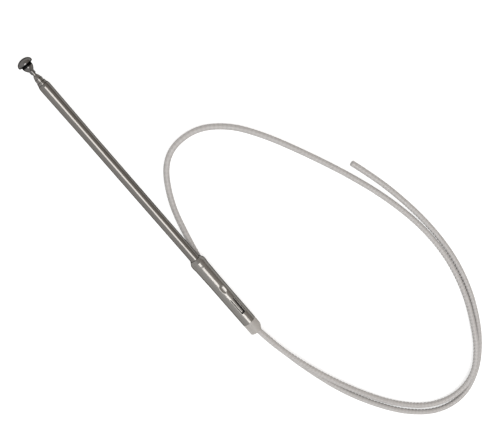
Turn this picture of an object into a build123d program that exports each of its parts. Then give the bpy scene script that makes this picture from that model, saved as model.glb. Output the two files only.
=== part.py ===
from build123d import *
import math
import os

os.makedirs("parts", exist_ok=True)

# A telescopic antenna mast, pushed in, with the toothed cord that drives it lying in loops beside it.
# Millimetres. +X runs along the mast to its tip, from the lower face of the collar that the cord
# comes out of. +Z is up. The mast lies level on its own cord, and the loops lie on the -Y side.

# Lengths along the mast, one after the other from the collar to the tip
collar_length = 9.0       # nylon collar, as far as it shows below the ferrule
ferrule_length = 58.9     # metal base sleeve
outer_showing = 148.3     # outer tube above the ferrule's mouth
c_showing = 1.8           # each section's mouth stands out of the next larger one
b_showing = 2.5
a_showing = 2.4
rod_showing = 1.3
shank_length = 2.2        # neck of the tip button
bell_length = 4.0         # bell-shaped boss above the shank
rim_bevel = 0.75          # slanting underside of the cap
rim_edge = 0.85           # the cap's edge
dome_height = 3.1

# Cross-sections, from the cord outwards
cord_diameter = 4.0
cord_clearance = 0.06     # cord in the thinnest tube, and the stops in their bores
slide_clearance = 0.04    # each section in the neck of the next larger one
spring_gap = 0.20         # radial room for the contact springs
a_wall = 0.17
b_wall = 0.20
c_wall = 0.21
outer_wall = 0.22
rod_diameter = 2.4
seat_clearance = 0.03     # pieces that are pushed onto or into each other and stay there
crimp_clearance = 0.012   # pieces that are pressed onto a tube
end_gap = 0.3             # pieces of neighbouring sections that stop against each other
liner_wall = 0.98
ferrule_wall = 0.48

# Necks and mouths of the tubes
shoulder_slope = 4.0      # length of a shoulder for each mm that the tube narrows
c_neck = 0.5
b_neck = 2.2
nose_length = 2.3         # rounded nose of the thinnest tube
outer_neck = 1.7          # the outer tube's mouth is rounded in over this length
outer_taper = 40.0        # below it the outside thickens by this much, over this length
outer_thickening = 0.24
edge_round = 0.07

# Stops and contact springs at the sections' lower ends
lip_thickness = 1.0
foot_length = 6.0
spring_length = 9.0
spring_wall = 0.13
spring_slit = 0.6
spring_slots = 5
spring_slot_length = 5.0
stop_margin = 0.5

# Rod foot and cord coupler
coupler_length = 5.0
coupler_wall = 0.55
crimp_depth = 0.12
crimp_width = 0.8
rod_foot_length = 8.0
rod_socket = 4.0
rod_spigot_lip = 0.4      # how far the foot's spigot stands out of its spring

# Tip button
shank_diameter = 3.26
bell_diameter = 6.9
cap_diameter = 9.9
edge_taper = 0.08         # the cap's edge narrows by this much round its foot
bell_flare = 1.6          # from the bell's start to the point that sets its curve
button_bore_depth = 5.6

# Ferrule
seat_length = 37.0        # plain cylinder from the ferrule's lower end
flare = 0.22              # how much wider the ferrule is below its bead
bead_rise = 0.26          # and how much the bead stands out of that
bead_length = 6.2
mouth_length = 3.6
mouth_lip = 0.34
bead_round = 2.4

# Dimple, and the locking tab that is cut from the ferrule's wall and pressed in
clocking = 13.0           # degrees from straight up, towards the cord's side
seam_turn = 35.0          # keeps the seam of the turned faces beside the cuts, not in them
dimple_back = 5.7         # from the end of the seat to the dimple's middle
dimple_radius = 6.0
dimple_depth = 0.6
dimple_straight = 1.7
tab_station = 18.4        # free end
tab_length = 12.2
tab_angle = 20.0          # degrees of the ferrule's girth
tab_slot = 0.6
tab_press = 0.68          # how far the free end is pressed in

# Nylon collar
spigot_length = 21.0
collar_round = 0.4
outlet_flare = 0.75       # the bore opens by this much round, over the collar's length
collar_bore_clearance = 0.15
pocket_clearance = 0.25
ramp_length = 2.9         # slanting face beside the cord's outlet
ramp_depth = 2.0

# The cord's free part, from inside the collar to its cut end, laid on the floor
lay_gap = 0.3             # between the cord and the mast that lies on it
cord_end_inside = 8.0
arc_share = 0.45

# Radii that follow from the values above
cord_r = cord_diameter / 2
rod_r = rod_diameter / 2
a_bore = cord_r + cord_clearance
a_r = a_bore + a_wall
b_bore = a_r + spring_gap
b_r = b_bore + b_wall
c_bore = b_r + spring_gap
c_r = c_bore + c_wall
outer_bore = c_r + spring_gap
outer_r = outer_bore + outer_wall
liner_bore = outer_r + seat_clearance
liner_r = liner_bore + liner_wall
ferrule_bore = liner_r + seat_clearance
ferrule_r = ferrule_bore + ferrule_wall
bead_r = ferrule_r + flare + bead_rise

# Stations along X that follow from the lengths
ferrule_top = collar_length + ferrule_length
outer_top = ferrule_top + outer_showing
c_top = outer_top + c_showing
b_top = c_top + b_showing
a_top = b_top + a_showing
shank_start = a_top + rod_showing
bell_start = shank_start + shank_length
cap_start = bell_start + bell_length
rim_station = cap_start + rim_bevel + rim_edge
tip = rim_station + dome_height
spigot_top = collar_length + spigot_length
lip_start = spigot_top + end_gap
tube_start = lip_start + lip_thickness
coupler_start = tube_start
rod_foot_start = coupler_start + coupler_length
rod_start = rod_foot_start + rod_foot_length - rod_socket
dimple_station = collar_length + seat_length - dimple_back
floor_z = -(cord_diameter + lay_gap + bead_r)
lying = floor_z + cord_r

# Centre line of the free cord, point by point: out of the collar, over its own outer strand,
# along the bottom and right of the loops, back over the top, down and under the mast's base,
# and round again outside the first strand to the cut end
cord_route = [
    (cord_end_inside, 0, 0),
    (-6, -1, 0),
    (-24, -3.6, -1.5),
    (-45, -8.6, -3.3),
    (-70, -16.6, -5.0),
    (-96.1, -27.3, -6.6),
    (-120.2, -40.2, lying),
    (-140.3, -57.8, lying),
    (-148.4, -79, -6.7),
    (-142.8, -98.9, -4.7),
    (-127.4, -112.5, -4.6),
    (-109.1, -122.1, -6.2),
    (-87.2, -130.6, -7.4),
    (-57, -136, lying),
    (-25, -134.9, lying),
    (8.5, -127.4, lying),
    (40.4, -115.9, lying),
    (70.9, -102.2, lying),
    (99.8, -87.6, lying),
    (121.8, -72.4, lying),
    (134.7, -52.3, lying),
    (132.4, -27.9, lying),
    (107.8, -12, lying),
    (77, -4.1, lying),
    (43, 2, lying),
    (9, 1.5, lying),
    (-24.9, -2.8, lying),
    (-56, -9.2, lying),
    (-85, -17.6, lying),
    (-110.4, -29.2, lying),
    (-132.5, -43, lying),
    (-149.4, -61.3, lying),
    (-153.7, -83.1, lying),
    (-144.3, -102.2, lying),
    (-129, -116, lying),
    (-109.9, -126.6, lying),
    (-85.3, -135.4, lying),
    (-56, -140.1, lying),
    (-24, -139.2, lying),
    (8, -133.7, lying),
    (32.5, -126.9, lying),
    (46.5, -121.9, lying),
]


def save(shape, node):
    """Write one piece to its own file."""
    shape.label = node
    export_step(shape, f"parts/{node}.step")
    print(f"{node:18s} {shape.volume:9.1f} mm3")
    return shape


def turned(*edges):
    """Solid of revolution about the mast's axis, from the edges of a closed profile in X and radius."""
    return revolve(make_face(Curve() + list(edges)), Axis.X)


def turned_points(points, rounds=()):
    """Solid of revolution from the corners of a profile; rounds lists (corner number, radius)."""
    face = make_face(Polyline(*points, close=True))
    for corner, radius in rounds:
        at = Vector(*points[corner])
        vertex = min(face.vertices(), key=lambda v: (Vector(*v) - at).length)
        face = fillet(vertex, radius)
    return revolve(face, Axis.X)


def rod_between(x0, x1, radius):
    """Plain round bar along the mast's axis."""
    return Pos((x0 + x1) / 2, 0, 0) * Rot(0, 90, 0) * Cylinder(radius, x1 - x0)


def ring(x0, x1, inner, outer):
    """Plain ring on the mast's axis."""
    return rod_between(x0, x1, outer) - rod_between(x0, x1, inner)


def clocked(shape, degrees):
    """Turn a shape from straight up towards the cord's side, about the mast's axis."""
    return Rot(degrees, 0, 0) * shape


# Section tubes

def necked_tube(x0, x1, radius, wall, neck_bore, neck):
    """Drawn tube, its top end necked down onto the section that slides in it. Returns it with the
    station where its bore starts to narrow."""
    neck_r = neck_bore + wall
    start = x1 - neck - (radius - neck_r) * shoulder_slope
    points = [
        (x0, radius - wall), (x0, radius), (start, radius), (x1 - neck, neck_r), (x1, neck_r),
        (x1, neck_bore), (x1 - neck, neck_bore), (start, radius - wall),
    ]
    return turned_points(points, [(4, edge_round), (5, edge_round)]), start


def outer_tube():
    """Thickest tube: its outside widens gently towards the mouth, whose end is rounded in."""
    neck_bore = c_r + slide_clearance
    top = outer_top - outer_neck
    start = top - (outer_bore - neck_bore) * shoulder_slope
    crest = outer_r + outer_thickening
    lip_r = neck_bore + 0.15
    rounding = Spline(
        (top, crest), (outer_top - 0.35 * outer_neck, crest - 0.3), (outer_top, lip_r),
        tangents=[(1, 0), (0.5, -1)],
    )
    tube = turned(
        Line((tube_start, outer_bore), (tube_start, outer_r)),
        Line((tube_start, outer_r), (top - outer_taper, outer_r)),
        Line((top - outer_taper, outer_r), (top, crest)),
        rounding,
        Line((outer_top, lip_r), (outer_top, neck_bore)),
        Line((outer_top, neck_bore), (top, neck_bore)),
        Line((top, neck_bore), (start, outer_bore)),
        Line((start, outer_bore), (tube_start, outer_bore)),
    )
    return tube, start


def thinnest_tube():
    """Tube A: its nose is rounded in to the rod."""
    bore = rod_r + slide_clearance
    start = a_top - nose_length
    lip_r = bore + a_wall
    outside = Spline(
        (start, a_r), (start + 0.45 * nose_length, 0.6 * a_r + 0.4 * lip_r), (a_top, lip_r),
        tangents=[(1, 0), (1, -0.9)],
    )
    inside = Spline(
        (start, a_bore), (start + 0.42 * nose_length, 0.55 * a_bore + 0.45 * bore), (a_top - 0.4, bore),
        tangents=[(1, 0), (1, -0.5)],
    )
    tube = turned(
        Line((tube_start, a_bore), (tube_start, a_r)),
        Line((tube_start, a_r), (start, a_r)),
        outside,
        Line((a_top, lip_r), (a_top, bore)),
        Line((a_top, bore), (a_top - 0.4, bore)),
        inside,
        Line((start, a_bore), (tube_start, a_bore)),
    )
    return tube, start


# Stops and contact springs

def tube_foot(tube_r, tube_bore, larger_bore):
    """Stop bush round a tube's lower end, with a lip that the tube stands on."""
    outside = larger_bore - cord_clearance
    inside = tube_r + crimp_clearance
    sleeve = ring(tube_start, lip_start + foot_length, inside, outside)
    lip = ring(lip_start, tube_start, tube_bore, outside)
    return sleeve + lip


def contact_spring(x0, inside, larger_bore):
    """Split sleeve with slots between its leaves, which presses on the bore around it."""
    outside = larger_bore - cord_clearance
    wall = min(spring_wall, outside - inside)
    sleeve = ring(x0, x0 + spring_length, outside - wall, outside)
    middle = x0 + spring_length / 2
    cutter = Pos(middle, 0, outside) * Box(spring_length + 1, spring_slit, 4 * wall)
    sleeve -= cutter
    for number in range(1, spring_slots + 1):
        slot = Pos(middle, 0, outside) * Box(spring_slot_length, spring_slit, 4 * wall)
        sleeve -= clocked(slot, 360 * number / (spring_slots + 1))
    return sleeve


def rod_foot():
    """Turned stop on the rod's lower end: a socket holds the rod, and a spigot carries the spring."""
    end = rod_foot_start + rod_foot_length
    spigot_end = end + spring_length + rod_spigot_lip
    spigot_r = a_bore - cord_clearance - spring_wall - seat_clearance
    body = rod_between(rod_foot_start, end, a_bore - cord_clearance)
    body += rod_between(end, spigot_end, spigot_r)
    body -= rod_between(rod_start - 0.2, spigot_end + 1, rod_r + seat_clearance)
    waist = rod_foot_start + rod_foot_length * 0.35
    return body - ring(waist - 0.6, waist + 0.6, a_bore - 4 * crimp_depth, a_bore + 1)


def cord_coupler():
    """Sleeve crimped on the cord's end, with two rolled crimps."""
    outside = a_bore - cord_clearance - 0.02
    body = rod_between(coupler_start, rod_foot_start, outside)
    socket = outside - coupler_wall
    body -= rod_between(coupler_start - 1, rod_foot_start - 1.0, socket)
    for share in (0.25, 0.6):
        at = coupler_start + share * coupler_length
        body -= ring(at - crimp_width / 2, at + crimp_width / 2, outside - crimp_depth, outside + 1)
    return body


def cord_inner():
    """Short run of the cord inside the mast's base, its end turned down for the coupler."""
    start = cord_end_inside + end_gap
    socket = a_bore - cord_clearance - 0.02 - coupler_wall
    thick = rod_between(start, coupler_start, cord_r)
    return thick + rod_between(coupler_start - 0.5, rod_foot_start - 1.2, socket - seat_clearance)


# Tip button

def tip_button():
    """Button turned from one bar: shank, bell, cap with a bevelled underside, and a domed crown."""
    shank_r, bell_r, cap_r = shank_diameter / 2, bell_diameter / 2, cap_diameter / 2
    bell_top = cap_start - 0.9
    foot = cap_start + rim_bevel
    crown = EllipticalCenterArc((rim_station, 0), dome_height, cap_r, start_angle=0, arc_size=90)
    profile = turned(
        Line((shank_start, 0), (shank_start, shank_r)),
        Line((shank_start, shank_r), (bell_start, shank_r)),
        Spline((bell_start, shank_r), (bell_start + bell_flare, 0.83 * bell_r), (bell_top, bell_r),
               tangents=[(0.55, 1), (1, 0)]),
        Line((bell_top, bell_r), (cap_start, bell_r + 0.1)),
        Line((cap_start, bell_r + 0.1), (foot, cap_r - edge_taper)),
        Line((foot, cap_r - edge_taper), (rim_station, cap_r)),
        crown,
        Line((tip, 0), (shank_start, 0)),
    )
    return profile - rod_between(shank_start - 1, shank_start + button_bore_depth, rod_r + seat_clearance)


def top_rod():
    """Solid rod, from its foot's socket to the bottom of the button's bore."""
    return rod_between(rod_start, shank_start + button_bore_depth - 0.2, rod_r)


# Ferrule and what sits in it

def ferrule_shape(inset):
    """The ferrule's outline from end to end, drawn inset by this much: its outside, or its cavity."""
    r = ferrule_r - inset
    plain = collar_length + seat_length
    mouth = ferrule_top - mouth_length
    bead = mouth - bead_length / 2
    lip = outer_r + seat_clearance + (mouth_lip if inset == 0 else 0)
    top = ferrule_top - inset
    points = [
        (collar_length, 0), (collar_length, r), (plain, r), (bead - bead_length / 2, r + flare),
        (bead + 1.2, bead_r - inset), (mouth + 0.6, bead_r - inset - 0.05), (top, lip), (top, 0),
    ]
    soft = bead_round - inset
    return turned_points(points, [(3, 3.0), (4, soft), (5, soft * 0.75)])


def ferrule():
    """Drawn sleeve: plain seat, slight flare, bead and rolled mouth, with its dimple and locking tab."""
    shell = ferrule_shape(0) - ferrule_shape(ferrule_wall)
    shell -= rod_between(ferrule_top - 2 * ferrule_wall, ferrule_top + 1, liner_bore)
    return press_tab(press_dimple(Rot(seam_turn, 0, 0) * shell))


def capsule(x, height, radius, straight):
    """Bar along X with round ends."""
    near, far = x - straight / 2, x + straight / 2
    first = JernArc((near, radius), (-1, 0), radius, 90)
    last = JernArc((far, radius), (1, 0), radius, -90)
    face = make_face(Curve() + [first, last, Line(first @ 0, last @ 0), Line(first @ 1, last @ 1)])
    return Pos(0, 0, height) * revolve(face, Axis.X)


def press_dimple(shell):
    """Oval dimple: the wall is pressed in by the end of a round-ended tool."""
    height = ferrule_r + dimple_radius - dimple_depth
    tool = capsule(dimple_station, height, dimple_radius, dimple_straight)
    back = capsule(dimple_station, height, dimple_radius + ferrule_wall, dimple_straight)
    inner = rod_between(dimple_station - 8, dimple_station + 8, ferrule_bore + ferrule_wall / 2)
    return shell + clocked(back & inner, clocking) - clocked(tool, clocking)


def sector(x0, x1, inner, outer, degrees):
    """Part of a ring, centred straight up, that spans this angle."""
    piece = ring(x0, x1, inner, outer)
    half = math.radians(degrees / 2)
    reach = 2 * outer
    wedge = make_face(Polyline((0, 0), (-reach * math.sin(half), reach * math.cos(half)),
                               (reach * math.sin(half), reach * math.cos(half)), close=True))
    wedge = Plane((x0, 0, 0), x_dir=(0, 1, 0), z_dir=(1, 0, 0)) * wedge
    return piece & extrude(wedge, x1 - x0)


def press_tab(shell):
    """Locking tab: a U-shaped cut frees a strip of the wall, which is pressed in at its lower end."""
    slot_angle = math.degrees(tab_slot / ferrule_r)
    root = tab_station + tab_length
    window = sector(tab_station - tab_slot, root, ferrule_bore - 0.3, ferrule_r + 0.5, tab_angle + 2 * slot_angle)
    strip = sector(tab_station, root + 0.3, ferrule_bore, ferrule_r, tab_angle)
    tilt = math.degrees(math.asin(tab_press / tab_length))
    hinge = Axis((root, 0, ferrule_bore), (0, 1, 0))
    strip = strip.rotate(hinge, -tilt)
    return shell - clocked(window, clocking) + clocked(strip, clocking)


def ferrule_liner():
    """Insulating bush between the outer tube and the ferrule, with a window for the dimple."""
    plain = collar_length + seat_length
    bush = ring(tube_start, plain, liner_bore, liner_r)
    window = Pos(dimple_station, 0, liner_r) * Box(dimple_straight + 7.0, 5.0, 4 * liner_wall)
    return bush - clocked(window, clocking)


def cord_collar():
    """Moulded collar: a flange below the ferrule, and a spigot in it with a pocket for the tab."""
    spigot_r = ferrule_bore - seat_clearance
    bore = cord_r + collar_bore_clearance
    flange = turned_points(
        [(0, bore + outlet_flare), (0, ferrule_r), (collar_length, ferrule_r), (collar_length, bore)],
        [(0, 0.3), (1, collar_round)],
    )
    body = flange + ring(collar_length, spigot_top, bore, spigot_r)
    pocket_floor = ferrule_bore - tab_press - pocket_clearance
    slot_angle = math.degrees(tab_slot / ferrule_r)
    pocket = sector(tab_station - pocket_clearance, spigot_top + 1, pocket_floor, ferrule_r,
                    tab_angle + 2 * slot_angle)
    return body - clocked(pocket, clocking) - outlet_ramp()


def outlet_ramp():
    """Wedge that takes the flange's lower corner off on the side that the cord bends to."""
    low = -ferrule_r - 1
    corner = make_face(Polyline((-1, low), (ramp_length + ramp_length / ramp_depth, low),
                                (-1, low + 1 + ramp_depth + ramp_depth / ramp_length), close=True))
    return Pos(0, 0, low) * extrude(corner, -2 * low)


# Cord

def arc_radii(points):
    """Radius of the arc at each inner corner: as large as its two runs allow."""
    corners = [Vector(*p) for p in points]
    radii = []
    for before, at, after in zip(corners, corners[1:], corners[2:]):
        turn = math.radians((at - before).get_angle(after - at))
        shorter = min((at - before).length, (after - at).length)
        radii.append(arc_share * shorter / math.tan(turn / 2))
    return radii


def drive_cord():
    """Plain round tube along straight runs and tangent arcs."""
    radii = arc_radii(cord_route)
    path = FilletPolyline(*cord_route, radius=radii)
    start = Plane(origin=path @ 0, z_dir=path % 0)
    tube = sweep(start * Circle(cord_r), path=path)
    print("cord arc radii", [round(r, 1) for r in radii])
    print("cord length", round(path.length, 1), "section times length", round(path.length * math.pi * cord_r ** 2, 1))
    return tube


def build():
    """Build and write every piece, and print how far each section can travel."""
    outer, outer_stop = outer_tube()
    tube_c, c_stop = necked_tube(tube_start, c_top, c_r, c_wall, b_r + slide_clearance, c_neck)
    tube_b, b_stop = necked_tube(tube_start, b_top, b_r, b_wall, a_r + slide_clearance, b_neck)
    tube_a, a_stop = thinnest_tube()
    save(outer, "outer_tube")
    save(tube_c, "tube_c")
    save(tube_b, "tube_b")
    save(tube_a, "tube_a")
    save(top_rod(), "top_rod")
    save(tip_button(), "tip_button")
    spring_start = lip_start + foot_length
    for name, radius, bore, larger in (
        ("tube_c", c_r, c_bore, outer_bore), ("tube_b", b_r, b_bore, c_bore), ("tube_a", a_r, a_bore, b_bore),
    ):
        save(tube_foot(radius, bore, larger), f"{name}_foot")
        save(contact_spring(spring_start, radius + crimp_clearance, larger), f"{name}_spring")
    rod_spring_start = rod_foot_start + rod_foot_length
    save(rod_foot(), "rod_foot")
    save(contact_spring(rod_spring_start, rod_r, a_bore), "rod_spring")
    save(cord_coupler(), "cord_coupler")
    save(cord_inner(), "cord_inner")
    save(ferrule(), "ferrule")
    save(ferrule_liner(), "ferrule_liner")
    save(cord_collar(), "cord_collar")
    save(drive_cord(), "drive_cord")
    spring_end = spring_start + spring_length
    for name, stop in (("tube_c", outer_stop), ("tube_b", c_stop), ("tube_a", b_stop)):
        print(f"travel of {name}", round(stop - spring_end - stop_margin, 2))
    rod_reach = rod_spring_start + spring_length + rod_spigot_lip
    print("travel of rod", round(a_stop - rod_reach - stop_margin, 2))
    print("tip at", round(tip, 2), "floor at", round(floor_z, 2), "ferrule radius", round(ferrule_r, 3))


build()
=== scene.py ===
# %% [markdown]
# # A telescopic antenna mast and its toothed cord
# The object is a thin metal mast, pushed in, that a motor drives with a long nylon cord. The cord leaves
# the mast's foot and lies in one and a half loops beside it. Every cell below makes one piece or one
# finish. The CAD frame is loaded first, so that each surface is built where the solid already is.

import bpy
import numpy as np
from mathutils import Matrix, Vector


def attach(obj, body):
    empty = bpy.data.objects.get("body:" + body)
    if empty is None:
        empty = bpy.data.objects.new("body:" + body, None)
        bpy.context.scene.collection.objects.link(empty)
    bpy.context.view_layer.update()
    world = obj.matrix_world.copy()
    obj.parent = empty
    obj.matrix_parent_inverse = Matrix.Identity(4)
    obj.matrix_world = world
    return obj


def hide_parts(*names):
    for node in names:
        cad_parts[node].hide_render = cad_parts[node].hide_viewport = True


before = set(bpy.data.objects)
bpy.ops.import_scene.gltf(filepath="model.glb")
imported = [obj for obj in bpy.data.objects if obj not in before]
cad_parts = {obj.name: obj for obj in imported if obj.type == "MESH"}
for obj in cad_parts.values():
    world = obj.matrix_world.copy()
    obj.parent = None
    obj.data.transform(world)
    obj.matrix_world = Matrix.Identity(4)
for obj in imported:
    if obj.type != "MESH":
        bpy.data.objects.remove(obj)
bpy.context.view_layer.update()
MM = 0.001

# %% [markdown]
# ## Camera
# The mast is straight and the loops lie flat, so the picture's own perspective gives the camera: it looks
# down steeply, a little from the tip's side, and is rolled so that the mast runs across the picture from
# the upper left. Two angles say how it is turned: the tilt away from straight down, and the roll about its
# line of sight. Its three axes are worked out from them and become the columns of its matrix.

# %% Camera
TILT, ROLL = np.radians(19.0), np.radians(140.36)
STAND = (256.53, -42.86, 563.93)

back = np.array([np.sin(TILT), 0, np.cos(TILT)])
level = np.array([0, 1, 0])
right = np.cos(ROLL) * level + np.sin(ROLL) * np.cross(back, level)
up = np.cross(back, right)
camera = bpy.data.objects.new("camera", bpy.data.cameras.new("camera"))
bpy.context.scene.collection.objects.link(camera)
columns = np.array([right, up, back]).T
placing = Matrix.Identity(4)
for row in range(3):
    for column in range(3):
        placing[row][column] = columns[row, column]
    placing[row][3] = STAND[row] * MM
camera.matrix_world = placing
camera.data.sensor_width = 36.0
camera.data.lens = 64.8
camera.data.clip_start = 0.01
bpy.context.scene.camera = camera
print("camera stands at", [round(v) for v in STAND], "mm and looks back along", back.round(4))

# %% [markdown]
# ## The cord's line
# The cord is stiff nylon that lies in wide, easy curves. Its line could be drawn point by point, but a
# NURBS curve needs only a few control points and has no kinks. The points are those of the CAD route. The
# curve is then read back as many points close together, and everything on the cord is measured along it.

# %% The cord's line
CORD_RADIUS = 2.0
LYING = -7.76
route = [
    (8, 0, 0), (-6, -1, 0), (-24, -3.6, -1.5), (-45, -8.6, -3.3), (-70, -16.6, -5.0),
    (-96.1, -27.3, -6.6), (-120.2, -40.2, LYING), (-140.3, -57.8, LYING), (-148.4, -79, -6.7),
    (-142.8, -98.9, -4.7), (-127.4, -112.5, -4.6), (-109.1, -122.1, -6.2), (-87.2, -130.6, -7.4),
    (-57, -136, LYING), (-25, -134.9, LYING), (8.5, -127.4, LYING), (40.4, -115.9, LYING),
    (70.9, -102.2, LYING), (99.8, -87.6, LYING), (121.8, -72.4, LYING), (134.7, -52.3, LYING),
    (132.4, -27.9, LYING), (107.8, -12, LYING), (77, -4.1, LYING), (43, 2, LYING), (9, 1.5, LYING),
    (-24.9, -2.8, LYING), (-56, -9.2, LYING), (-85, -17.6, LYING), (-110.4, -29.2, LYING),
    (-132.5, -43, LYING), (-149.4, -61.3, LYING), (-153.7, -83.1, LYING), (-144.3, -102.2, LYING),
    (-129, -116, LYING), (-109.9, -126.6, LYING), (-85.3, -135.4, LYING), (-56, -140.1, LYING),
    (-24, -139.2, LYING), (8, -133.7, LYING), (32.5, -126.9, LYING), (46.5, -121.9, LYING),
]


def line_through(points, fineness):
    """Points along the NURBS curve of degree two whose control points are given, in mm."""
    curve = bpy.data.curves.new("cord line", "CURVE")
    curve.dimensions = "3D"
    curve.resolution_u = fineness
    spline = curve.splines.new("NURBS")
    spline.points.add(len(points) - 1)
    for point, place in zip(spline.points, points):
        point.co = (place[0] * MM, place[1] * MM, place[2] * MM, 1)
    spline.order_u = 3
    spline.use_endpoint_u = True
    holder = bpy.data.objects.new("cord line", curve)
    bpy.context.scene.collection.objects.link(holder)
    bpy.context.view_layer.update()
    mesh = bpy.data.meshes.new_from_object(holder)
    found = np.empty(len(mesh.vertices) * 3)
    mesh.vertices.foreach_get("co", found)
    bpy.data.objects.remove(holder)
    bpy.data.meshes.remove(mesh)
    return found.reshape(-1, 3) / MM


line = line_through(route, 64)
along_line = np.r_[0, np.cumsum(np.linalg.norm(np.diff(line, axis=0), axis=1))]
cord_length = along_line[-1]
print("the cord's line has", len(line), "points and is", round(cord_length, 1), "mm long")

# %% [markdown]
# ## From a grid of points to a mesh
# Every piece here is a surface with two parameters: round the piece and along it. One helper turns such a
# grid of points into a mesh. It closes the grid round the piece, and at its two ends it either closes the
# loop or puts a pole in the middle. The volume inside, worked out from the faces, says which way they
# point, so that no surface is inside out.

# %% Grid to mesh
def signed_volume(points, quads):
    """A sixth of the sum over the triangles of corner a dot (corner b cross corner c)."""
    total = 0.0
    for a, b, c in ((0, 1, 2), (0, 2, 3)):
        pa, pb, pc = points[quads[:, a]], points[quads[:, b]], points[quads[:, c]]
        total += np.einsum("ij,ij->i", pa, np.cross(pb, pc)).sum() / 6
    return total


def grid_quads(rings, sides, loop):
    """Corner numbers of the quads between neighbouring rings; with loop, the last joins the first."""
    steps = rings if loop else rings - 1
    ring, side = np.meshgrid(np.arange(steps), np.arange(sides), indexing="ij")
    after, beside = (ring + 1) % rings, (side + 1) % sides
    corners = (ring * sides + side, after * sides + side, after * sides + beside, ring * sides + beside)
    return np.stack(corners, axis=-1).reshape(-1, 4)


def piece(name, points, faces, material, sharp=32.0):
    """Mesh object in metres from points in mm, smooth but for edges that bend more than sharp degrees."""
    mesh = bpy.data.meshes.new(name)
    mesh.from_pydata((points * MM).tolist(), [], faces)
    mesh.update()
    mesh.shade_smooth()
    mesh.set_sharp_from_angle(angle=np.radians(sharp))
    thing = bpy.data.objects.new(name, mesh)
    bpy.context.scene.collection.objects.link(thing)
    mesh.materials.append(material)
    return thing


def surface(name, grid, ends, material, sharp=32.0):
    """Closed mesh from a grid of rings, whose ends are a loop or get poles."""
    rings, sides = grid.shape[:2]
    points = grid.reshape(-1, 3)
    quads = grid_quads(rings, sides, ends == "loop")
    flip = signed_volume(points, quads) < 0
    faces = quads[:, ::-1].tolist() if flip else quads.tolist()
    if ends == "poles":
        first, last = len(points), len(points) + 1
        points = np.vstack([points, grid[0].mean(axis=0), grid[-1].mean(axis=0)])
        side = np.arange(sides)
        beside = (side + 1) % sides
        start = np.stack([np.full(sides, first), side, beside], axis=1)
        base = (rings - 1) * sides
        end = np.stack([np.full(sides, last), base + beside, base + side], axis=1)
        caps = np.vstack([start, end])
        faces += (caps[:, ::-1] if flip else caps).tolist()
    return piece(name, points, faces, material, sharp)


print("three rings of four points make", len(grid_quads(3, 4, False)), "quads, as a loop",
      len(grid_quads(3, 4, True)))

# %% [markdown]
# ## Turned pieces
# The mast's parts are turned or drawn, so each is a profile carried round the mast's axis. The profile is
# a line through a few corners, and each corner gets a small arc, because on real metal it is the rounded
# edge that catches the light. A knife-sharp edge would stay dark.

# %% Profiles
def rounded(corners, steps=4):
    """Profile through corners of (along, radius, rounding). An arc of the rounding's radius touches both
    sides: it starts at the corner minus radius times the tangent of half the turn, and it is carried
    over as a quadratic curve whose middle control point is the corner."""
    places = np.array([c[:2] for c in corners], float)
    out = [places[0]]
    for number in range(1, len(corners) - 1):
        before, at, after = places[number - 1:number + 2]
        into, onward = at - before, after - at
        a, b = np.linalg.norm(into), np.linalg.norm(onward)
        into, onward = into / a, onward / b
        turn = np.arccos(np.clip(into @ onward, -1, 1))
        reach = min(corners[number][2] * np.tan(turn / 2), 0.49 * a, 0.49 * b)
        if reach < 1e-4:
            out.append(at)
            continue
        t = np.linspace(0, 1, steps + 1)[:, None]
        p0, p2 = at - into * reach, at + onward * reach
        out.extend((1 - t) ** 2 * p0 + 2 * t * (1 - t) * at + t ** 2 * p2)
    out.append(places[-1])
    return np.array(out)


def turn_round(profile, sides=96):
    """Grid of points: x as in the profile, y and z its radius times the sine and cosine of the angle."""
    angle = np.arange(sides) * 2 * np.pi / sides
    x = np.repeat(profile[:, :1], sides, axis=1)
    y = profile[:, 1:2] * np.sin(angle)
    z = profile[:, 1:2] * np.cos(angle)
    return np.stack([x, y, z], axis=-1)


def refined(profile, step):
    """The same profile with points added, so that none are more than step apart."""
    out = [profile[:1]]
    for a, b in zip(profile[:-1], profile[1:]):
        count = max(1, int(np.ceil(np.linalg.norm(b - a) / step)))
        share = np.linspace(0, 1, count + 1)[1:, None]
        out.append(a + (b - a) * share)
    return np.vstack(out)


print("a corner that is rounded in four steps becomes", len(rounded([(0, 1, 0), (1, 1, 0.2), (1, 0, 0)])) - 2,
      "points")

# %% [markdown]
# ## Metal finishes
# The tubes are drawn through a die and plated, which leaves faint lines along them. A noise texture that
# is stretched along the mast gives those lines in the roughness and in a very small bump. The same idea,
# with other numbers, makes the satin base sleeve and the darker button, so one function makes them all.
#
# Each tube's mouth has a dark line: painted shade at the mouth, partly oil. The button has a nearly black
# band round the hollow under its cap. Both are bands: where the object's own x lies in the band, the
# colour is nearly black.

# %% Metal
# Colour of the painted dark bands: shade at the tubes' mouths and behind the sleeve's tab, and the band under
# the button's cap.
NEARLY_BLACK = (0.012, 0.012, 0.012, 1)
# Half width in mm of the nearly black band of painted shade, partly oil, at each tube's mouth.
MOUTH_SHADE_BAND = 0.26


def nodes_of(name):
    """New material with its node tree, its Principled shader, and a short way to add nodes."""
    material = bpy.data.materials.new(name)
    material.use_nodes = True
    tree = material.node_tree
    shader = tree.nodes["Principled BSDF"]

    def add(kind, **inputs):
        node = tree.nodes.new(kind)
        for key, value in inputs.items():
            node.inputs[key.replace("_", " ")].default_value = value
        return node

    return material, tree.links.new, shader, add


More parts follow.
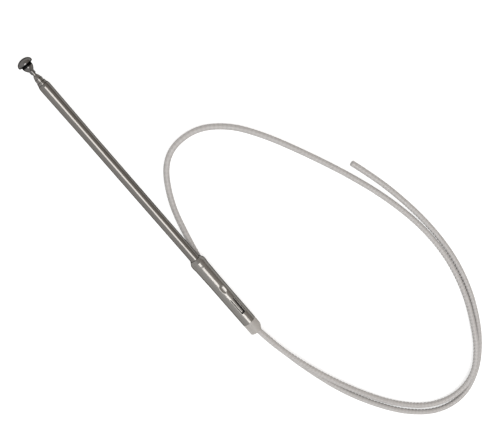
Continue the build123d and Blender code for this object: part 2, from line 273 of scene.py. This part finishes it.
# Paints a nearly black band: painted shade at the tubes' mouths (partly oil) and behind the sleeve's tab, and
# the band under the button's cap.
def blackened(place, link, add, colour, middle, half_width):
    """The colour, but nearly black where the object's own x is within half_width of the middle, in mm."""
    split = add("ShaderNodeSeparateXYZ")
    link(place.outputs["Object"], split.inputs["Vector"])
    inside = add("ShaderNodeMath")
    inside.operation = "COMPARE"
    inside.inputs[1].default_value = middle * MM
    inside.inputs[2].default_value = half_width * MM
    link(split.outputs["X"], inside.inputs[0])
    black = add("ShaderNodeMix")
    black.data_type = "RGBA"
    black.inputs["B"].default_value = NEARLY_BLACK
    link(inside.outputs[0], black.inputs["Factor"])
    link(colour, black.inputs["A"])
    return black.outputs["Result"]


def metal(name, light, dark, roughness, spread, stretch, scale, bump, band=None):
    """Plated metal: clouds of noise set the colour between two tones; stretched noise gives the roughness
    and a fine bump. A band, given as its middle and half width along the mast in mm, is blackened."""
    material, link, shader, add = nodes_of(name)
    shader.inputs["Metallic"].default_value = 1.0
    shader.inputs["Specular Tint"].default_value = (0.1, 0.1, 0.1, 1)
    place = add("ShaderNodeTexCoord")
    mapping = add("ShaderNodeMapping")
    mapping.inputs["Scale"].default_value = stretch
    lines = add("ShaderNodeTexNoise", Scale=scale, Detail=5.0, Roughness=0.6)
    clouds = add("ShaderNodeTexNoise", Scale=90.0, Detail=3.0)
    link(place.outputs["Object"], mapping.inputs["Vector"])
    link(mapping.outputs["Vector"], lines.inputs["Vector"])
    link(place.outputs["Object"], clouds.inputs["Vector"])
    tones = add("ShaderNodeMix")
    tones.data_type = "RGBA"
    tones.inputs["A"].default_value = (*dark, 1)
    tones.inputs["B"].default_value = (*light, 1)
    link(clouds.outputs["Fac"], tones.inputs["Factor"])
    colour = tones.outputs["Result"]
    if band:
        colour = blackened(place, link, add, colour, *band)
    link(colour, shader.inputs["Base Color"])
    rough = add("ShaderNodeMapRange", From_Min=0.3, From_Max=0.7, To_Min=roughness - spread,
                To_Max=roughness + spread)
    link(lines.outputs["Fac"], rough.inputs["Value"])
    link(rough.outputs["Result"], shader.inputs["Roughness"])
    relief = add("ShaderNodeBump", Strength=bump, Distance=0.00005)
    link(lines.outputs["Fac"], relief.inputs["Height"])
    link(relief.outputs["Normal"], shader.inputs["Normal"])
    return material


def drawn_metal(name, band=None):
    """Metal of the tubes and the rod, with fine lines along them. The band is painted shade, partly oil,
    nearly black at a tube's mouth.
    """
    light, dark = (0.245, 0.232, 0.218), (0.205, 0.193, 0.180)
    return metal(name, light, dark, 0.13, 0.04, (0.05, 1, 1), 2500.0, 0.2, band)


MOUTHS = {"outer_tube": 216.2, "tube_c": 218.0, "tube_b": 220.5, "tube_a": 222.9}
drawn = drawn_metal("drawn rod metal")
# Each tube's mouth gets a nearly black band of painted shade, partly oil.
drawn_tubes = {name: drawn_metal(f"drawn metal of {name}", (top, MOUTH_SHADE_BAND)) for name, top in MOUTHS.items()}
satin = metal("satin sleeve metal", (0.315, 0.302, 0.284), (0.255, 0.244, 0.229), 0.24, 0.05,
              (0.3, 1, 1), 1500.0, 0.3)
# The button is painted nearly black in a band round the hollow under its cap, x from 229.5 to 231.6 mm.
button_metal = metal("button metal", (0.205, 0.197, 0.19), (0.125, 0.12, 0.115), 0.09, 0.02,
                     (1, 0.2, 0.2), 1800.0, 0.15, band=(230.55, 1.05))
bronze = metal("spring bronze", (0.72, 0.50, 0.26), (0.60, 0.40, 0.20), 0.30, 0.06, (1, 1, 1), 900.0, 0.2)
print("metals made:", drawn.name, *MOUTHS, satin.name, button_metal.name, bronze.name)

# %% [markdown]
# ## Nylon finishes
# The cord and the collar are natural nylon: whitish, a little see-through and softly glossy. Some light
# goes in and comes out again nearby, which is what subsurface scattering works out. On the cord, faint
# cross lines of painted shade stand for the tooth spaces seen through the nylon, so its colour follows its
# own UV map, whose first coordinate counts the teeth. The collar has a nearly black band of painted shade
# behind the sleeve's tab, where little light gets in.

# %% Nylon
# Painted shade: the cord's colour is multiplied by this tone across each tooth space.
TOOTH_SHADE = (0.925, 0.925, 0.925, 1)


def nylon(name, pale, dull, roughness, tooth_shade_lines=False, band=None):
    """Natural nylon: cloudy colour, light scattered inside, and on the cord a line of painted shade for each
    tooth space. A band is painted nearly black as on the metals; on the collar it is painted shade."""
    material, link, shader, add = nodes_of(name)
    shader.inputs["Subsurface Weight"].default_value = 0.35
    shader.inputs["Subsurface Radius"].default_value = (1.0, 0.95, 0.9)
    shader.inputs["Subsurface Scale"].default_value = 0.0012
    shader.inputs["Roughness"].default_value = roughness
    place = add("ShaderNodeTexCoord")
    clouds = add("ShaderNodeTexNoise", Scale=160.0, Detail=4.0)
    link(place.outputs["Object"], clouds.inputs["Vector"])
    tones = add("ShaderNodeMix")
    tones.data_type = "RGBA"
    tones.inputs["A"].default_value = (*dull, 1)
    tones.inputs["B"].default_value = (*pale, 1)
    link(clouds.outputs["Fac"], tones.inputs["Factor"])
    colour = tones.outputs["Result"]
    # Painted shade: a darker line across the cord at each tooth space.
    if tooth_shade_lines:
        split = add("ShaderNodeSeparateXYZ")
        link(place.outputs["UV"], split.inputs["Vector"])
        tooth = add("ShaderNodeMath")
        tooth.operation = "FRACT"
        link(split.outputs["X"], tooth.inputs[0])
        wave = add("ShaderNodeMapRange", From_Min=0.35, From_Max=0.7, To_Min=0.0, To_Max=1.0)
        wave.interpolation_type = "SMOOTHSTEP"
        link(tooth.outputs[0], wave.inputs["Value"])
        shade = add("ShaderNodeMix")
        shade.data_type = "RGBA"
        shade.blend_type = "MULTIPLY"
        shade.inputs["B"].default_value = TOOTH_SHADE
        link(wave.outputs["Result"], shade.inputs["Factor"])
        link(colour, shade.inputs["A"])
        colour = shade.outputs["Result"]
    if band:
        colour = blackened(place, link, add, colour, *band)
    link(colour, shader.inputs["Base Color"])
    grain = add("ShaderNodeTexNoise", Scale=1400.0, Detail=3.0)
    link(place.outputs["Object"], grain.inputs["Vector"])
    relief = add("ShaderNodeBump", Strength=0.08, Distance=0.00004)
    link(grain.outputs["Fac"], relief.inputs["Height"])
    link(relief.outputs["Normal"], shader.inputs["Normal"])
    return material


cord_nylon = nylon("cord nylon", (0.509, 0.489, 0.476), (0.457, 0.440, 0.428), 0.36, tooth_shade_lines=True)
# On the collar, a nearly black band of painted shade lies behind the sleeve's tab, seen through the slots.
collar_nylon = nylon("collar nylon", (0.43, 0.41, 0.385), (0.38, 0.36, 0.34), 0.50, band=(24.0, 6.2))
print("nylons made:", cord_nylon.name, collar_nylon.name)

# %% [markdown]
# ## The toothed cord
# Teeth like a rack's run all along the inner side of the bends, where the drum's gear takes hold of
# them. A separate solid for each of four hundred teeth would be heavy. The cord is one surface instead:
# rings follow the line, and in each tooth space the ring is cut flat on one side. Eight rings a tooth, set
# close where the flank is, keep the teeth crisp.
#
# The cord also twists a little as it lies, so its teeth show more in one place than in another. A short
# table says how far the toothed side leans at some distances, and the lean in between is interpolated.

# %% The toothed cord
TOOTH_PITCH = 2.8
TOOTH_DEPTH = 0.5
TANGENT_REACH = 0.6
TWIST_AT = (0, 120, 215, 235, 265, 290, 330, 480, 700, 900, 1000, 1050)
TWIST_LEAN = (-20, -25, -4, 12, 12, -5, -25, -30, -25, -6, -4, -35)


def cord_frames(distance):
    """Places on the line and two directions across it: sideways, level, and upwards. The tangent is the
    difference between a place a little ahead and one a little behind."""
    def places(at):
        return np.stack([np.interp(at, along_line, line[:, k]) for k in range(3)], axis=1)

    middle = places(distance)
    ahead = places(np.minimum(distance + TANGENT_REACH, cord_length))
    tangent = ahead - places(np.maximum(distance - TANGENT_REACH, 0))
    tangent /= np.linalg.norm(tangent, axis=1, keepdims=True)
    inward = np.cross([0, 0, 1.0], tangent)
    inward /= np.linalg.norm(inward, axis=1, keepdims=True)
    return middle, inward, np.cross(tangent, inward)


def toothed_cord(sides=24):
    """Ring radius is the cord's, or in a tooth space the smaller of it and the distance to a flat divided
    by the cosine of the angle from the toothed side. The flat goes in and out with the tooth's phase."""
    phases = np.array([0, 0.14, 0.28, 0.42, 0.52, 0.65, 0.78, 0.90])
    depths = np.array([0, 0, 0, 0, 1, 1, 1, 1.0])
    count = int(cord_length / TOOTH_PITCH)
    distance = ((np.arange(count)[:, None] + phases) * TOOTH_PITCH).ravel()
    depth = np.tile(depths, count) * TOOTH_DEPTH
    distance = np.r_[distance, count * TOOTH_PITCH, cord_length]
    depth = np.r_[depth, 0, 0]
    middle, inward, upward = cord_frames(distance)
    lean = np.radians(np.interp(distance, TWIST_AT, TWIST_LEAN) + 3 * np.sin(distance / 37.0))
    angle = np.arange(sides) * 2 * np.pi / sides
    from_teeth = np.cos(angle[None, :] - lean[:, None])
    flat = (CORD_RADIUS - depth)[:, None] / np.maximum(from_teeth, 0.2)
    radius = np.minimum(CORD_RADIUS, flat)
    grid = (middle[:, None] + inward[:, None] * (radius * np.cos(angle))[..., None]
            + upward[:, None] * (radius * np.sin(angle))[..., None])
    return grid, distance, middle


cord_grid, cord_distance, cord_middle = toothed_cord()
cord = surface("toothed_cord", cord_grid, "poles", cord_nylon, sharp=40)
print("cord teeth", int(cord_length / TOOTH_PITCH), "faces", len(cord.data.polygons))

# %% [markdown]
# The UV map's first coordinate is the distance along the cord in teeth, and its second goes once round.
# It is worked out for every corner of every face from the corner's vertex number, as whole arrays.

# %% The cord's UV map
def cord_uv(thing, distance, sides=24):
    """u is the distance over the pitch; v is the side's number over the sides."""
    mesh = thing.data
    corner = np.empty(len(mesh.loops), dtype=int)
    mesh.loops.foreach_get("vertex_index", corner)
    ring = np.minimum(corner // sides, len(distance) - 1)
    uv = np.stack([distance[ring] / TOOTH_PITCH, (corner % sides) / sides], axis=1)
    layer = mesh.uv_layers.new(name="along and round")
    layer.data.foreach_set("uv", uv.astype(np.float32).ravel())
    return layer.name


print("UV map:", cord_uv(cord, cord_distance))
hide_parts("drive_cord")
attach(cord, "base")

# %% [markdown]
# ## Telescopic tubes
# Four drawn tubes slide in each other. Each is a thin wall whose upper end is drawn in, so that it guides
# the next smaller tube and can't lose it. One function makes a tube from its own numbers: the profile goes
# up the outside, over the lip, and down the inside, and the loop is closed.

# %% Telescopic tubes
TUBE_START = 31.3


def drawn_tube(name, body, top, radius, wall, bore, neck, lip_round=0.07):
    """Tube whose top neck has its own bore; the shoulder falls four times as far as it narrows."""
    neck_r = bore + wall
    start = top - neck - (radius - neck_r) * 4
    corners = [
        (TUBE_START, radius - wall, 0), (TUBE_START, radius, 0.05), (start, radius, 1.5),
        (top - neck, neck_r, 1.2), (top, neck_r, lip_round), (top, bore, lip_round),
        (top - neck, bore, 0.5), (start, radius - wall, 0.5), (TUBE_START, radius - wall, 0),
    ]
    node = name.replace("drawn_", "")
    tube = surface(name, turn_round(rounded(corners))[:-1], "loop", drawn_tubes[node])
    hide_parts(node)
    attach(tube, body)
    return tube


for name, body, top, radius, wall, bore, neck in (
    ("drawn_tube_c", "section_c", 218.0, 3.04, 0.21, 2.67, 0.5),
    ("drawn_tube_b", "section_b", 220.5, 2.63, 0.20, 2.27, 2.2),
):
    made = drawn_tube(name, body, top, radius, wall, bore, neck)
    print(made.name, "has", len(made.data.polygons), "faces")

# %% [markdown]
# The thickest tube ends differently: a low bead runs round its mouth, and the very end is rolled in. The
# thinnest one has a rounded nose that closes on the rod. Both are the same kind of surface with a few more
# corners in the profile.

# %% Outer tube and nose tube
outer_profile = rounded([
    (TUBE_START, 3.24, 0), (TUBE_START, 3.46, 0.05), (174.5, 3.46, 60), (214.3, 3.70, 1.5),
    (215.7, 3.45, 1.2), (216.2, 3.22, 0.1), (216.2, 3.08, 0.06), (214.5, 3.08, 0.5),
    (213.86, 3.24, 0.5), (TUBE_START, 3.24, 0),
], steps=6)
outer = surface("outer_tube_shell", turn_round(outer_profile)[:-1], "loop", drawn_tubes["outer_tube"])
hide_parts("outer_tube")
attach(outer, "base")

nose_profile = rounded([
    (TUBE_START, 2.06, 0), (TUBE_START, 2.23, 0.05), (220.7, 2.23, 2.0), (222.1, 1.90, 1.6),
    (222.9, 1.41, 0.10), (222.9, 1.24, 0.06), (222.4, 1.24, 0.3), (221.5, 1.70, 1.0), (220.7, 2.06, 1.0),
    (TUBE_START, 2.06, 0),
], steps=6)
nose = surface("drawn_tube_a", turn_round(nose_profile)[:-1], "loop", drawn_tubes["tube_a"])
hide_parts("tube_a")
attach(nose, "section_a")

# %% [markdown]
# ## Rod and tip button
# The last section is a solid rod with a turned button on it. The button is the piece that is touched and
# seen most: a domed cap with a thin bright rim, a hollow curve under it, and a bell and a shank below. Its
# profile starts and ends on the axis, so the surface is closed with a pole at each end.

# %% Rod and tip button
rod_profile = rounded([(40.3, 0.0, 0), (40.3, 1.2, 0.1), (229.6, 1.2, 0.1), (229.6, 0.0, 0)])
rod = surface("bright_rod", turn_round(rod_profile, 64)[1:-1], "poles", drawn)
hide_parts("top_rod")
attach(rod, "rod")


def button_profile():
    """Shank, bell and bevel as rounded corners, and a crown that is a quarter of an ellipse."""
    lower = rounded([
        (224.2, 0.0, 0), (224.2, 1.63, 0.15), (226.35, 1.63, 0.15), (227.35, 2.52, 1.6), (228.7, 3.28, 2.0),
        (229.7, 3.45, 0.5), (230.5, 3.30, 0.3), (230.95, 4.3, 0.3), (231.15, 4.85, 0.12), (231.9, 4.95, 0.3),
        (232.0, 4.95, 0),
    ], steps=5)
    t = np.linspace(0, np.pi / 2, 28)[1:]
    crown = np.stack([232.0 + 3.1 * np.sin(t), 4.95 * np.cos(t)], axis=1)
    return np.vstack([lower, crown])


button = surface("tip_button_turned", turn_round(button_profile())[1:-1], "poles", button_metal)
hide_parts("tip_button")
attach(button, "rod")

# %% [markdown]
# ## The base sleeve
# The sleeve is one drawn tube with a bead near its mouth. An oval dimple is pressed into it, and a tab is
# cut free on three sides and bent in, so that it locks the collar. A grid of quads can do both: near the
# tab the grid's lines lie exactly on the edges of the cut, the faces in the cut are left out, and the
# points of the tab and of the dimple are moved inwards. Of the two slots beside the tab, the one that is
# farther from the top is the wider. Solidify then gives the sheet its thickness.

# %% Sleeve helpers
CLOCKING = np.radians(13.0)
SLEEVE_R, SHEET = 4.98, 0.48
BAR_R, DIMPLE_DEPTH = 6.0, 0.6
DIMPLE_X, DIMPLE_HALF, DIMPLE_SOFT = 40.3, 0.85, 0.16


def smooth_less(a, b, soft):
    """The smaller of a and b, rounded off where they are within soft of each other."""
    h = np.clip(0.5 + 0.5 * (b - a) / soft, 0, 1)
    return b + (a - b) * h - soft * h * (1 - h)


def dimpled(x, turn, radius):
    """Where a ray from the axis meets a round-ended bar that is pressed in from outside, the wall follows
    the bar: distance is H cos(turn) minus the root of R squared less (H sin(turn)) squared."""
    height = SLEEVE_R + BAR_R - DIMPLE_DEPTH
    over = np.maximum(np.abs(x - DIMPLE_X) - DIMPLE_HALF, 0)
    bar = np.maximum(BAR_R ** 2 - over ** 2, 0)
    under = bar - (height * np.sin(turn)) ** 2
    hit = height * np.cos(turn) - np.sqrt(np.maximum(under, 0))
    near = (under > 0) & (np.cos(turn) > 0) & (bar > 0)
    return np.where(near, smooth_less(radius, hit, DIMPLE_SOFT), radius)


deepest = dimpled(np.array([DIMPLE_X]), np.array([0.0]), np.array([SLEEVE_R]))[0]
print("radius of the wall at the dimple's middle", round(float(deepest), 2), "mm")

# %% [markdown]
# The tab's numbers come in two kinds. Along the mast, the cut starts at its end slot, then comes the
# tab's free tip, and the tab ends where it joins the sleeve. Round the mast, the tab and its two slots are
# given in degrees from the tab's middle line.

# %% The base sleeve
CUT_START, TAB_TIP, TAB_ROOT = 17.8, 18.4, 30.6
TAB_LENGTH, TAB_DROP, TAB_HALF = 12.2, 0.68, 10.0
WIDE_SLOT, NARROW_SLOT = 11.5, 4.6


def stations(*spans):
    """Values from spans of (start, end, step), each cut into equal steps."""
    out = []
    for start, end, step in spans:
        count = max(1, int(round((end - start) / step)))
        out.append(np.linspace(start, end, count + 1)[:-1])
    return np.r_[np.concatenate(out), spans[-1][1]]


def sleeve():
    """Grid in x and angle. The radius follows the turned profile, less the dimple and the tab's slope."""
    outside = rounded([
        (9.0, 4.88, 0), (9.1, 4.98, 0.1), (46.0, 4.98, 20), (61.0, 5.20, 3.0), (62.7, 5.46, 2.0),
        (65.2, 5.41, 1.6), (67.6, 4.0, 0.9), (67.9, 3.84, 0),
    ], steps=8)
    x = np.unique(np.round(np.r_[stations(
        (9.0, CUT_START, 0.5), (CUT_START, TAB_TIP, 0.3), (TAB_TIP, TAB_ROOT, 0.4), (TAB_ROOT, 36.0, 0.6),
        (36.0, 45.0, 0.18), (45.0, 61.0, 1.0), (61.0, 67.9, 0.12)), outside[:, 0]], 3))
    low, high = -TAB_HALF - WIDE_SLOT, TAB_HALF + NARROW_SLOT
    degrees = stations((low, -TAB_HALF, WIDE_SLOT / 3), (-TAB_HALF, TAB_HALF, 2.0),
                       (TAB_HALF, high, NARROW_SLOT / 3), (high, 360 + low, 3.0))[:-1]
    turn = np.radians(degrees)
    radius = np.interp(x, outside[:, 0], outside[:, 1])[:, None] * np.ones_like(turn)
    radius = dimpled(x[:, None], turn[None, :], radius)
    in_tab = (np.abs(degrees) <= TAB_HALF + 0.01)[None, :] & ((x > TAB_TIP - 0.01) & (x < TAB_ROOT))[:, None]
    radius = np.where(in_tab, radius - TAB_DROP * ((TAB_ROOT - x) / TAB_LENGTH)[:, None], radius)
    angle = turn - CLOCKING
    grid = np.stack([np.repeat(x[:, None], len(turn), 1), radius * np.sin(angle), radius * np.cos(angle)], -1)
    quads = grid_quads(len(x), len(turn), False)
    middle_x = (x[:-1] + x[1:]) / 2
    middle_d = degrees + np.diff(np.r_[degrees, degrees[0] + 360]) / 2
    middle_d = np.where(middle_d > 180, middle_d - 360, middle_d)
    inside = (middle_d > low) & (middle_d < high)
    beside = inside & (np.abs(middle_d) > TAB_HALF)
    cut = ((middle_x > CUT_START) & (middle_x < TAB_ROOT))[:, None] & beside[None, :]
    cut |= ((middle_x > CUT_START) & (middle_x < TAB_TIP))[:, None] & inside[None, :]
    return grid.reshape(-1, 3), quads[~cut.ravel()]


sleeve_points, sleeve_faces = sleeve()
used = np.unique(sleeve_faces)
renumber = np.zeros(len(sleeve_points), dtype=int)
renumber[used] = np.arange(len(used))
base_sleeve = piece("base_sleeve", sleeve_points[used], renumber[sleeve_faces].tolist(), satin, sharp=30)
wall = base_sleeve.modifiers.new("sheet thickness", "SOLIDIFY")
wall.thickness = SHEET * MM
wall.offset = -1
wall.use_even_offset = True
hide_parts("ferrule")
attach(base_sleeve, "base")
print("sleeve faces", len(base_sleeve.data.polygons))

# %% [markdown]
# ## The collar
# The collar is moulded nylon. Its flange shows below the sleeve, flush with it, and on the side that the
# cord bends to, the lower corner slants away. A slant is a plane, so every point of the flange that lies
# beyond the plane is moved along the axis onto it. Behind the sleeve's tab and slots the spigot has a
# pocket, whose points are moved in to one radius. In both places a hundredth of the points' distances is
# kept, because faces whose corners fall together have no area.

# %% The collar
COLLAR_STEP, KEPT_APART = 0.45, 0.01
FLANGE_END, SLANT_DEPTH, SLANT_RISE = 8.0, 2.0, 2.9
POCKET_START, POCKET_R, POCKET_SHIFT, POCKET_HALF = 18.1, 3.57, 3.5, 19.5


def collar():
    """Turned profile, whose lower end is pushed up to the slant's plane: x is at least the slope times the
    depth into the slant. In the tab's pocket the spigot's radius is the pocket floor's."""
    profile = refined(rounded([
        (0.0, 3.6, 0), (0.0, SLEEVE_R, 0.4), (9.0, SLEEVE_R, 0.05), (9.0, 4.47, 0.02), (30.0, 4.47, 0.3),
        (30.0, 2.15, 0.2), (9.0, 2.15, 2.0), (0.0, 2.9, 0.3), (0.0, 3.6, 0),
    ], steps=5), COLLAR_STEP)
    grid = turn_round(profile, 144)
    slant = (-grid[..., 1] - (SLEEVE_R - SLANT_DEPTH)) * SLANT_RISE / SLANT_DEPTH
    below = (grid[..., 0] < FLANGE_END) & (grid[..., 0] < slant)
    grid[..., 0] = np.where(below, slant + KEPT_APART * (grid[..., 0] - slant), grid[..., 0])
    turn = np.degrees(np.arctan2(grid[..., 1], grid[..., 2]) + CLOCKING)
    radius = np.hypot(grid[..., 1], grid[..., 2])
    pocket = (np.abs(turn + POCKET_SHIFT) < POCKET_HALF) & (grid[..., 0] > POCKET_START) & (radius > POCKET_R)
    sunk = POCKET_R + KEPT_APART * (radius - POCKET_R)
    shrink = np.where(pocket, sunk / np.maximum(radius, 0.1), 1.0)
    grid[..., 1:] *= shrink[..., None]
    return grid[:-1]


collar_piece = surface("cord_collar_moulded", collar(), "loop", collar_nylon, sharp=35)
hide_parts("cord_collar")
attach(collar_piece, "base")
print("collar faces", len(collar_piece.data.polygons))

# %% [markdown]
# ## Inner pieces
# The feet, springs, liner and coupler stay as the CAD made them, because their shapes are plain and they
# are hidden in the tubes. They only get their finishes.

# %% Inner pieces
inner = {
    "rod_foot": bronze, "rod_spring": bronze, "cord_coupler": bronze, "cord_inner": cord_nylon,
    "ferrule_liner": collar_nylon,
}
for section in "abc":
    inner[f"tube_{section}_foot"] = bronze
    inner[f"tube_{section}_spring"] = bronze
for name, finish in inner.items():
    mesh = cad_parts[name].data
    mesh.materials.clear()
    mesh.materials.append(finish)
print(len(inner), "inner pieces got their finish")

# %% [markdown]
# ## Floor
# The mast lies on a white sheet. The sheet is an ordinary pale diffuse surface, so it keeps the shadows.
# A little light of its own is added, but only where the camera, a reflection or a clear surface looks at
# it, and for the last two it is half as strong. In the open the paper and the glow together reach white
# for the camera, while in the narrow gap between two strands little light gets in and the sheet stays
# grey. A sheet that shone for every ray would also light the object from below.

# %% Floor
def white_sheet(paper_tone, camera_glow, mirror_glow):
    """Diffuse paper plus a glow that camera, glossy and transmission rays see, and no others."""
    material = bpy.data.materials.new("white sheet")
    material.use_nodes = True
    tree = material.node_tree
    tree.nodes.clear()
    out = tree.nodes.new("ShaderNodeOutputMaterial")
    paper = tree.nodes.new("ShaderNodeBsdfDiffuse")
    paper.inputs["Color"].default_value = (paper_tone, paper_tone, paper_tone, 1)
    glow = tree.nodes.new("ShaderNodeEmission")
    both = tree.nodes.new("ShaderNodeAddShader")
    path = tree.nodes.new("ShaderNodeLightPath")
    total = None
    for ray, share in (("Is Camera Ray", camera_glow), ("Is Glossy Ray", mirror_glow),
                       ("Is Transmission Ray", mirror_glow)):
        part = tree.nodes.new("ShaderNodeMath")
        part.operation = "MULTIPLY_ADD"
        part.inputs[1].default_value = share
        part.inputs[2].default_value = 0
        tree.links.new(path.outputs[ray], part.inputs[0])
        if total:
            tree.links.new(total, part.inputs[2])
        total = part.outputs[0]
    tree.links.new(total, glow.inputs["Strength"])
    tree.links.new(paper.outputs[0], both.inputs[0])
    tree.links.new(glow.outputs[0], both.inputs[1])
    tree.links.new(both.outputs[0], out.inputs["Surface"])
    return material


FLOOR_HALF, FLOOR_Z = 40.0, -9.79 * MM
floor_mesh = bpy.data.meshes.new("floor")
corners = [(x * FLOOR_HALF, y * FLOOR_HALF, FLOOR_Z) for x, y in ((-1, -1), (1, -1), (1, 1), (-1, 1))]
floor_mesh.from_pydata(corners, [], [(0, 1, 2, 3)])
floor = bpy.data.objects.new("floor", floor_mesh)
bpy.context.scene.collection.objects.link(floor)
floor_mesh.materials.append(white_sheet(paper_tone=0.62, camera_glow=0.60, mirror_glow=0.30))
print("floor", 2 * FLOOR_HALF, "m wide, at", round(FLOOR_Z / MM, 2), "mm")

# %% [markdown]
# ## Light
# Polished metal shows what is round it. A long lamp right above the mast draws the narrow bright line
# along the tubes. The rest is the world: paler on the far side of the mast, darker and a little warmer on
# the side of the loops, so that each tube has a mid-grey side and a dark side. The world's tone is a ramp
# over the sideways part of the direction in which a ray leaves, which the Generated coordinates give there.

# %% Light
def lamp(name, place, size_x, size_y, power, aim=(0, 0, 0)):
    """Area lamp of size_x by size_y metres that faces a point."""
    data = bpy.data.lights.new(name, "AREA")
    data.shape = "RECTANGLE"
    data.size, data.size_y, data.energy = size_x, size_y, power
    thing = bpy.data.objects.new(name, data)
    bpy.context.scene.collection.objects.link(thing)
    thing.location = place
    facing = Vector(aim) - Vector(place)
    thing.rotation_euler = facing.to_track_quat("-Z", "Y").to_euler()
    return thing


lamp("strip", (-0.15, -0.03, 1.2), 1.2, 0.62, 6.9, aim=(-0.15, -0.03, 0))


def sided_world(stops):
    """World whose tone depends on how far sideways a ray goes, from the loops' side to the other."""
    world = bpy.data.worlds.new("studio")
    bpy.context.scene.world = world
    world.use_nodes = True
    tree = world.node_tree
    place = tree.nodes.new("ShaderNodeTexCoord")
    split = tree.nodes.new("ShaderNodeSeparateXYZ")
    share = tree.nodes.new("ShaderNodeMapRange")
    share.inputs["From Min"].default_value = -1
    ramp = tree.nodes.new("ShaderNodeValToRGB")
    for number, (at, tone) in enumerate(stops):
        stop = ramp.color_ramp.elements[number] if number < 2 else ramp.color_ramp.elements.new(at)
        stop.position = at
        stop.color = (*tone, 1)
    tree.links.new(place.outputs["Generated"], split.inputs["Vector"])
    tree.links.new(split.outputs["Y"], share.inputs["Value"])
    tree.links.new(share.outputs["Result"], ramp.inputs["Fac"])
    tree.links.new(ramp.outputs["Color"], tree.nodes["Background"].inputs["Color"])
    return world


sided_world([
    (0.0, (0.34, 0.32, 0.30)), (1.0, (0.74, 0.74, 0.74)), (0.1, (0.50, 0.465, 0.435)),
    (0.2, (0.62, 0.58, 0.545)), (0.45, (0.62, 0.61, 0.60)), (0.7, (0.88, 0.88, 0.88)),
    (0.88, (0.88, 0.88, 0.88)),
])
bpy.context.scene.view_settings.view_transform = "Standard"
